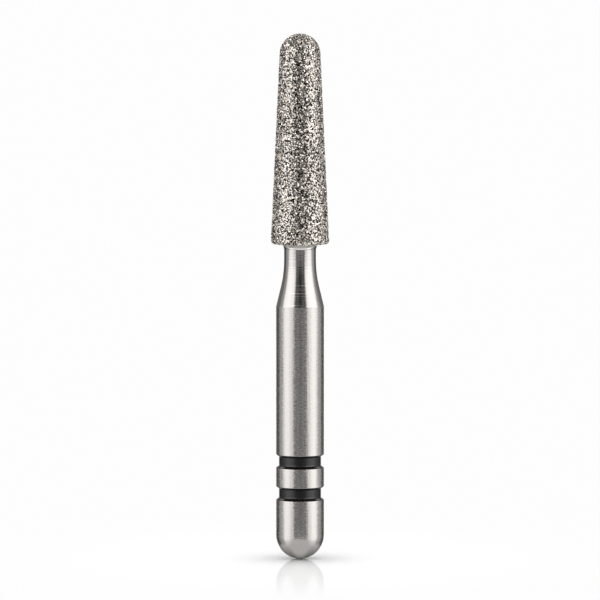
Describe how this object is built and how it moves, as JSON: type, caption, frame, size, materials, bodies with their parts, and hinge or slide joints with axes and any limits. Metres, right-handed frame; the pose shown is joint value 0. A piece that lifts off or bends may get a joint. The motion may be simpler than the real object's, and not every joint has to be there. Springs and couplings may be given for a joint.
{
  "type": "dental bur",
  "caption": "Round-end tapered diamond bur with a slim neck and a plain round friction-grip shank that carries black marking rings.",
  "frame": {"origin": "the lowest point of the shank's round end, on the axis", "axes": "+Z along the axis, from the shank's round end towards the tip of the head"},
  "size_m": [0.002, 0.002, 0.0175],
  "materials": {
    "stainless_steel": "fine turned and polished",
    "diamond_plating": "rough, sparkling grit in nickel",
    "black_enamel": "semi-gloss enamel"
  },
  "bodies": {
    "root": {"steel_blank": "stainless_steel", "diamond_layer": "diamond_plating", "lower_black_ring": "black_enamel", "upper_black_ring": "black_enamel"}
  },
  "joints": []
}
